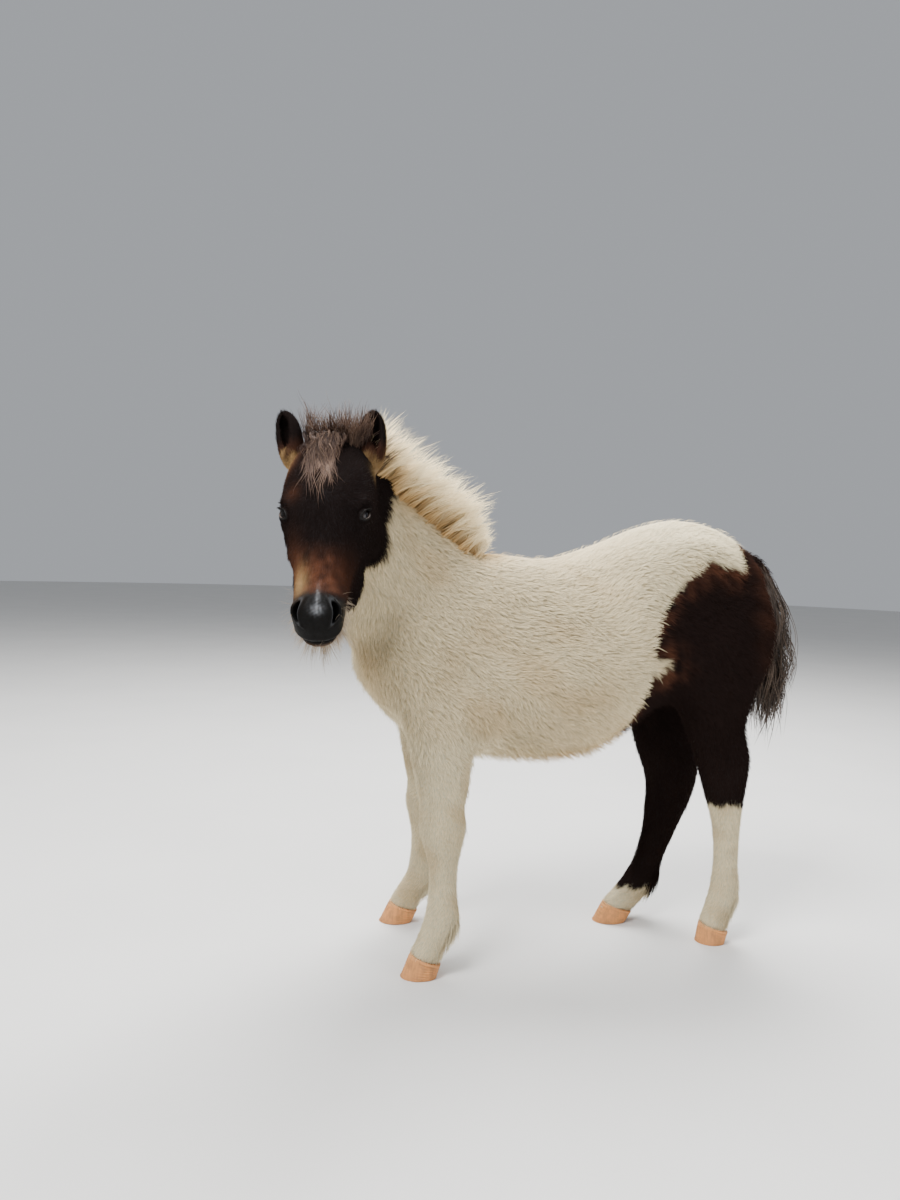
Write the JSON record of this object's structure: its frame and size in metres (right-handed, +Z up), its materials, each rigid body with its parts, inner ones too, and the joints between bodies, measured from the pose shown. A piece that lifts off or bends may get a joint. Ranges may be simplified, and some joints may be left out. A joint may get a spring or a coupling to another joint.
{
  "type": "shetland pony foal",
  "caption": "Shetland pony foal at life size, a still model standing square with its head turned to its left, thick coat, brush mane and bushy tail.",
  "frame": {"origin": "on the floor, under the middle of the whole model's box", "axes": "+Z up; the pony faces -X with its left side towards -Y and its tail towards +X"},
  "size_m": [1.038, 0.4382, 0.9595],
  "materials": {
    "white_coat": "dense matte winter coat, cream white",
    "dark_coat": "short matte coat, seal brown to black",
    "ear_coat": "short matte coat with a dark lining",
    "eye": "wet and glossy, near black",
    "tail_hair": "long wavy hair, black brown",
    "hoof": "satin horn, pinkish tan"
  },
  "bodies": {
    "root": {"torso": "white_coat", "neck": "white_coat", "head": "dark_coat", "ear_left": "ear_coat", "ear_right": "ear_coat", "eye_left": "eye", "eye_right": "eye", "tail": "tail_hair", "foreleg_left": "white_coat", "foreleg_right": "white_coat", "hindleg_left": "dark_coat", "hindleg_right": "dark_coat", "hoof_fore_left": "hoof", "hoof_fore_right": "hoof", "hoof_hind_left": "hoof", "hoof_hind_right": "hoof"}
  },
  "joints": []
}
